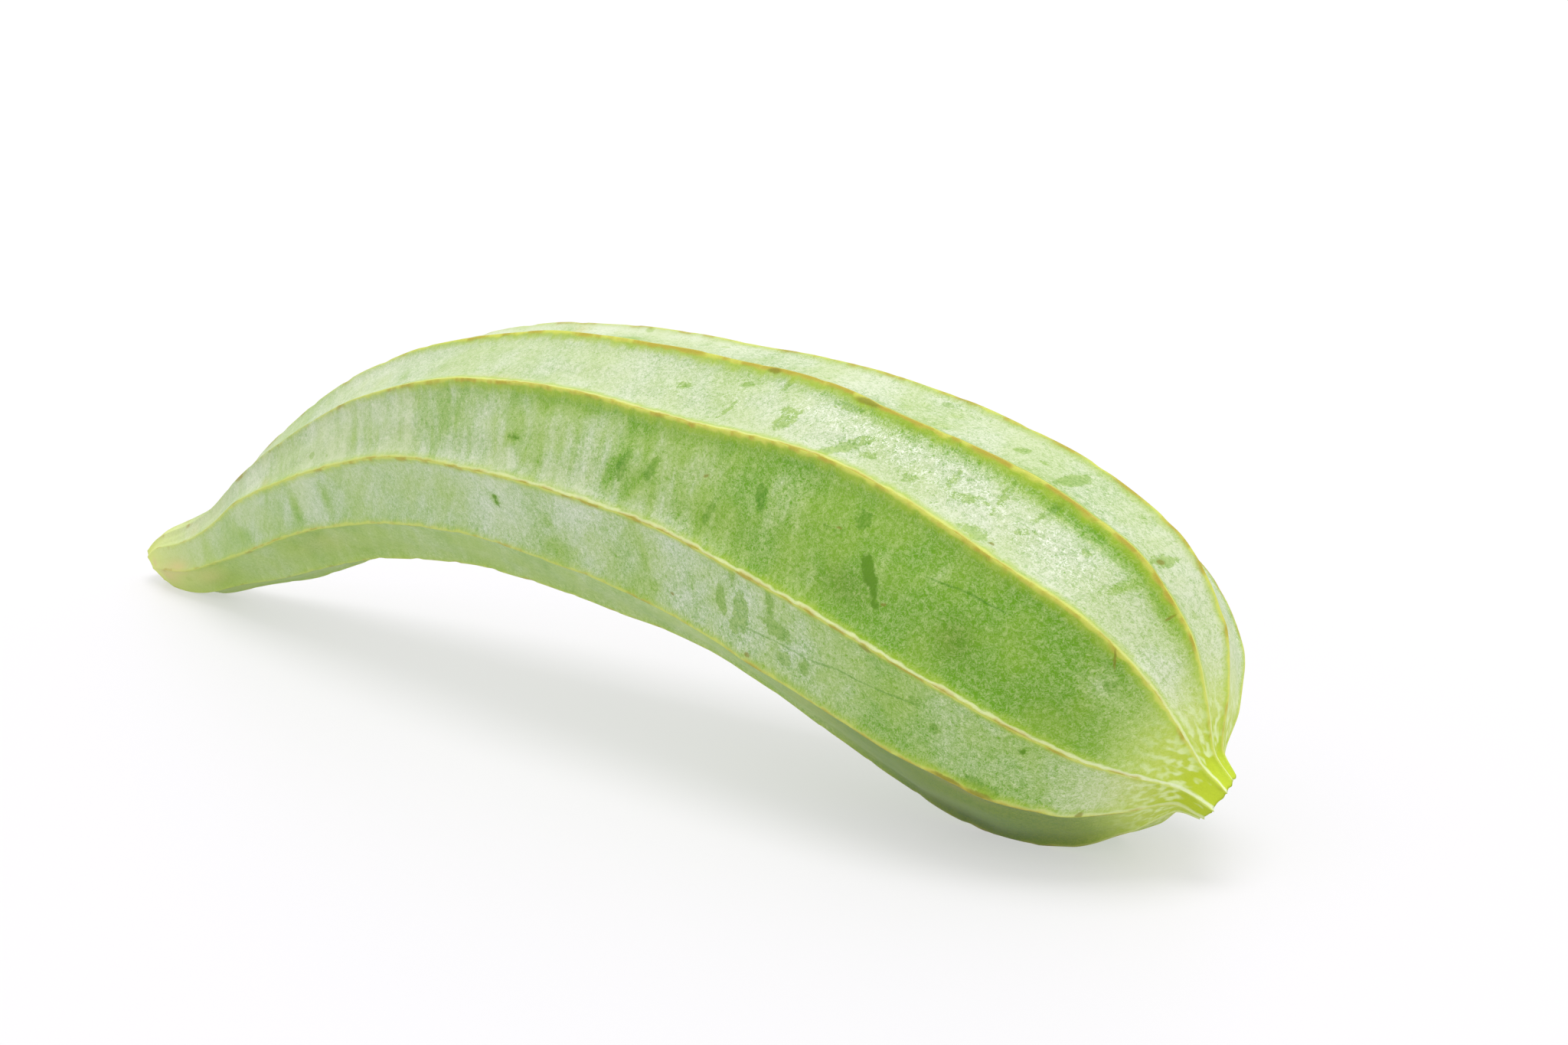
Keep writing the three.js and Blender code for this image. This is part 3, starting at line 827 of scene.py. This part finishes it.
def scratch_rows(places, half_width):
    """Thin marks that join end to end along a row of skin places."""
    rows = []
    for (start, start_turn), (end, end_turn) in zip(places, places[1:]):
        from_place = chart_place(start, start_turn)
        to_place = chart_place(end, end_turn)
        run, rise = to_place[0] - from_place[0], to_place[1] - from_place[1]
        length = math.hypot(run, rise) / 2
        middle = ((start + end) / 2, (start_turn + end_turn) / 2)
        rows.append((*middle, 1.15 * length, half_width, math.degrees(math.atan2(rise, run))))
    return rows


def skin_material():
    """Deep green skin under a pale felt, with yellow and rusty crests, and yellow towards both ends;
    with painted highlights on the top faces and crests, and painted shading of the faces.
    """
    material = bpy.data.materials.new("gourd_skin")
    material.use_nodes = True
    tree = material.node_tree
    tree.nodes.clear()
    shader = Shader(tree)
    solid = shader.scaled(shader.node("ShaderNodeTexCoord").outputs["Object"], 1 / MM)
    face = shader.chart("Faces")
    along, across, _ = shader.parts(face)
    above, below, _ = shader.parts(shader.chart("Ribs"))
    yellow = shader.field("yellow")

    # Cover of the bloom: its field, wide clouds, and streaks across the faces.
    leaned = shader.more(along, shader.field("lean"), across)
    streaks = shader.stretched(leaned, across, (0.3, 0.07, 0.0), 2.5)
    clouds = shader.noise(solid, 0.16, 3.0, 0.6)
    cover = shader.plus(shader.field("bloom"), shader.centred(clouds, 0.5))
    cover = shader.more(cover, shader.centred(streaks, 0.95), shader.field("streaks"))
    cover = shader.maths("MAXIMUM", cover, BAREST_COVER)
    contrast = shader.times(shader.step(cover, -0.05, 0.6, 1.1, 1.4), shader.field("grain"))
    felt = shader.group(felt_group(), {"Vector": face, "Cover": cover, "Contrast": contrast})

    deep = colour(*DEEP_GREEN)
    pale = shader.blend(shader.step(cover, 0.1, 0.8), colour(*THIN_FELT), colour(*PALE_FELT))
    tone = shader.blend(felt["Mask"], deep, pale)
    warm = shader.noise(solid, 0.09, 2.0)
    tone = shader.blend(shader.step(warm, 0.36, 0.62, 0.0, 0.26), tone, colour(*FRESH_GREEN))

    # Marks, with ragged edges.
    ragged = shader.centred(shader.noise(face, 0.75, 4.0, 0.7), 3.0)
    rubbed = shader.step(shader.plus(shader.field("rubbed"), ragged), -0.45, 0.05)
    squeezed = shader.join(shader.times(along, 0.15), shader.times(across, 0.2))
    cells = shader.node("ShaderNodeTexVoronoi", {0: squeezed, "Scale": 1.0})
    reach = shader.more(cells.outputs["Distance"], ragged, 0.06)
    size = shader.step(shader.parts(cells.outputs["Color"])[0], 0.6, 1.0, 0.0, 0.2)
    small = shader.step(shader.minus(size, reach), -0.02, 0.04)
    rubbed = shader.maths("MAXIMUM", rubbed, shader.times(small, 0.7))
    tone = shader.tint(rubbed, tone, RUBBED_TINT)
    bruise = shader.step(shader.plus(shader.field("bruise"), shader.times(ragged, 0.6)), -0.4, 0.1)
    tone = shader.blend(shader.times(bruise, 0.95), tone, colour(*BRUISE_GREEN))
    bend = shader.noise(face, 0.7, 2.0, 0.6, output=1)
    shifted = shader.vector("ADD", face, (-0.3, -0.3, 0.0))
    slight = shader.vector("MULTIPLY_ADD", bend, (0.6, 0.6, 0.0), shifted)
    mark = mark_group()
    scratches = scratch_rows(SCRATCHES[0], SCRATCH_HALF_WIDTH)
    scratches += scratch_rows(SCRATCHES[1], SCRATCH_HALF_WIDTH)
    tone = shader.tint(marks(shader, mark, slight, scratches, 0.6), tone, SCRATCH_TINT)

    # Painted highlights: white glint strokes where the light catches the skin.
    glint_noise = shader.stretched(along, across, (1.1, 0.8, 5.0), 2.5, 0.6)
    glint_strokes = shader.times(shader.step(glint_noise, 0.44, 0.6), felt["Curls"])
    glint_strokes = shader.maths("MULTIPLY", glint_strokes, shader.field("glint"), clamp=True)
    tone = shader.blend(shader.times(glint_strokes, 0.7), tone, colour(*PAINTED_GLINT_WHITE))

    # Yellow towards both ends, and pale islands on the olive yellow before the blossom end.
    tone = shader.blend(yellow, tone, colour(*LIME))
    tone = shader.blend(shader.field("ochre"), tone, colour(*OCHRE))
    islands = shader.stretched(along, across, (0.55, 0.85, 9.0), 1.0)
    rim = float(skin_length(AXIS_LENGTH))
    fewer = shader.step(along, rim - TIP_ISLANDS_THIN, rim - TIP_ISLANDS_LEFT, 0.0, 0.25)
    islands = shader.step(shader.minus(islands, fewer), 0.42, 0.66)
    last = shader.blend(islands, colour(*TIP_OLIVE), colour(*TIP_ISLANDS))
    tone = shader.blend(shader.field("tip"), tone, last)

    # Crests: a yellow line, rusty in stretches and cream on its upper edge, the cream partly a painted
    # highlight.
    nearer = shader.maths("LESS_THAN", above, below)
    upward = shader.node("ShaderNodeMix", {0: nearer, 2: shader.times(below, -1.0), 3: above})
    wobble = shader.centred(shader.stretched(along, across, (0.35, 0.9, 0.0), 2.5), 0.9)
    crest = shader.plus(upward.outputs[0], wobble)
    line = shader.field("line")
    uneven = shader.stretched(along, across, (0.45, 0.04, 7.0))
    thickness = shader.times(shader.maths("MULTIPLY_ADD", line, 0.75, 0.3), shader.plus(uneven, 0.5))
    distance = shader.maths("DIVIDE", shader.maths("ABSOLUTE", crest), thickness)
    border = shader.step(distance, 0.3, 1.7, 0.65, 0.0)
    tone = shader.blend(shader.times(border, line), tone, colour(*CREST_BORDER))
    ridge = shader.step(distance, 0.15, 0.65, 0.9, 0.0)
    tone = shader.blend(shader.times(ridge, line), tone, colour(*CREST_YELLOW))
    # Cream along the upper edge: partly the crest's pale colour, partly a painted highlight.
    edge = shader.step(shader.maths("ABSOLUTE", shader.minus(crest, 0.3)), 0.05, 0.35, 0.7, 0.0)
    tone = shader.blend(shader.times(edge, shader.field("cream_and_highlight")), tone, colour(*CREST_CREAM_AND_HIGHLIGHT))
    stretch = shader.stretched(along, across, (0.16, 0.04, 0.0), 3.0, 0.55)
    rusty = shader.step(shader.more(stretch, shader.field("rust"), 0.12), 0.53, 0.68)
    thin = shader.step(shader.maths("ABSOLUTE", shader.plus(crest, 0.15)), 0.05, 0.7, 0.8, 0.0)
    tone = shader.tint(shader.times(rusty, thin), tone, RUST_TINT)

    scabs = marks(shader, mark, slight, SCABS, 0.4)
    tone = shader.blend(shader.times(scabs, 0.7), tone, colour(*SCAB_BROWN))

    tone = shader.blend(shader.step(shader.field("cut"), 0.0, 0.2), tone, colour(*CUT_FLESH))
    # Painted light and shade: the faces' factor multiplies red and green, and its square the blue.
    painted_light_and_shade = shader.field("painted_light_and_shade")
    shade = shader.join(painted_light_and_shade, painted_light_and_shade, shader.times(painted_light_and_shade, painted_light_and_shade))
    tone = shader.multiplied(1.0, tone, shade)

    relief = {"Strength": BUMP_STRENGTH, "Distance": BUMP_HEIGHT, "Height": felt["Height"]}
    bump = shader.node("ShaderNodeBump", relief)
    inputs = {
        "Base Color": tone,
        "Roughness": shader.step(felt["Mask"], 0.0, 1.0, 0.38, 0.65),
        "Specular IOR Level": 0.25,
        "Normal": bump.outputs[0],
    }
    principled = shader.node("ShaderNodeBsdfPrincipled", inputs)
    shader.node("ShaderNodeOutputMaterial", {"Surface": principled.outputs[0]})
    return material


def make_gourd():
    grid, along, cut, rib, share = gourd_grid()
    s = np.broadcast_to(along[:, None], grid.shape[:2])
    length = skin_length(s)
    width = face_width(s, rib[None, :])
    near = share * width
    far = np.where(np.roll(share, -1) == 0, 1, np.roll(share, -1)) * width
    start = FACE_PITCH * rib
    charts = [
        ("Faces", cell_corners(length, length), cell_corners(start + near, start + far)),
        ("Ribs", cell_corners(near, far), cell_corners(width - near, width - far)),
    ]
    turn = np.broadcast_to(rib + share, s.shape)
    streaks = np.array(STREAK_SHARE)[rib] * smooth_table(STREAK_SPAN)(s)
    fields = {
        "bloom": bloom_cover(s, turn),
        "painted_light_and_shade": by_face(PAINTED_FACE_LIGHTING, s, turn) + soft_places(s, turn, PAINTED_SHADE_PLACES),
        "yellow": smooth_table(END_YELLOW)(s) + np.array(FACE_YELLOW)[rib],
        "ochre": soft_places(s, turn, OCHRE_PLACES),
        "rubbed": mark_field(s, turn, RUBBED_PATCHES),
        "bruise": mark_field(s, turn, DEEP_PATCHES),
        "tip": smooth_table(TIP)(s),
        "glint": soft_places(s, turn, PAINTED_GLINT_PLACES),
        "streaks": streaks,
        "grain": smooth_table(FELT_GRAIN)(s),
        "lean": np.broadcast_to(np.array(STREAK_LEAN)[rib], s.shape),
        "line": crest_values(s, turn, 1),
        "rust": crest_values(s, turn, 2),
        "cream_and_highlight": crest_values(s, turn, 3),
        "cut": np.broadcast_to(cut[:, None], s.shape),
    }
    mesh = write_mesh("gourd_fruit", rest_on_ground(grid), charts, fields)
    mesh.materials.append(skin_material())
    fruit = bpy.data.objects.new("gourd_fruit", mesh)
    bpy.context.scene.collection.objects.link(fruit)
    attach(fruit, "root")
    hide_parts("gourd")


# ---------- Stage ----------

FLOOR_WHITE = (0.343, 0.332, 0.352)
FLOOR_GLOW = 0.49
SKY_STRENGTH = 0.97
SUN_STRENGTH = 1.55
SUN_SPREAD = 34.0


def make_camera():
    azimuth = math.radians(CAMERA_AZIMUTH)
    elevation = math.radians(CAMERA_ELEVATION)
    level = math.cos(elevation)
    back = Vector((math.sin(azimuth) * level, -math.cos(azimuth) * level, math.sin(elevation)))
    camera = bpy.data.objects.new("camera", bpy.data.cameras.new("camera"))
    camera.data.lens = CAMERA_LENS
    camera.data.sensor_width = SENSOR_WIDTH
    camera.data.sensor_fit = "HORIZONTAL"
    camera.data.clip_start = 0.01
    camera.data.clip_end = 100
    camera.location = CAMERA_AIM + back * CAMERA_DISTANCE
    camera.rotation_euler = back.to_track_quat("Z", "Y").to_euler()
    bpy.context.scene.collection.objects.link(camera)
    bpy.context.scene.camera = camera


def make_floor():
    half = 20.0
    mesh = bpy.data.meshes.new("floor")
    corners = [(-half, -half, 0), (half, -half, 0), (half, half, 0), (-half, half, 0)]
    mesh.from_pydata(corners, [], [(0, 1, 2, 3)])
    floor = bpy.data.objects.new("floor", mesh)
    bpy.context.scene.collection.objects.link(floor)
    material = bpy.data.materials.new("floor_white")
    material.use_nodes = True
    principled = material.node_tree.nodes["Principled BSDF"]
    principled.inputs["Base Color"].default_value = colour(*FLOOR_WHITE)
    principled.inputs["Roughness"].default_value = 0.5
    principled.inputs["Specular IOR Level"].default_value = 0.1
    principled.inputs["Emission Color"].default_value = colour(1.0, 1.0, 1.0)
    principled.inputs["Emission Strength"].default_value = FLOOR_GLOW
    mesh.materials.append(material)


def make_light():
    world = bpy.data.worlds.new("white_room")
    bpy.context.scene.world = world
    world.use_nodes = True
    background = world.node_tree.nodes["Background"]
    background.inputs["Color"].default_value = colour(1.0, 1.0, 1.0)
    background.inputs["Strength"].default_value = SKY_STRENGTH
    lamp = bpy.data.lights.new("overhead", "SUN")
    lamp.angle = math.radians(SUN_SPREAD)
    lamp.energy = SUN_STRENGTH
    overhead = bpy.data.objects.new("overhead", lamp)
    overhead.rotation_euler = (math.radians(-4), 0, 0)
    bpy.context.scene.collection.objects.link(overhead)
    bpy.context.scene.view_settings.view_transform = "Standard"


make_camera()
make_floor()
make_light()
make_gourd()
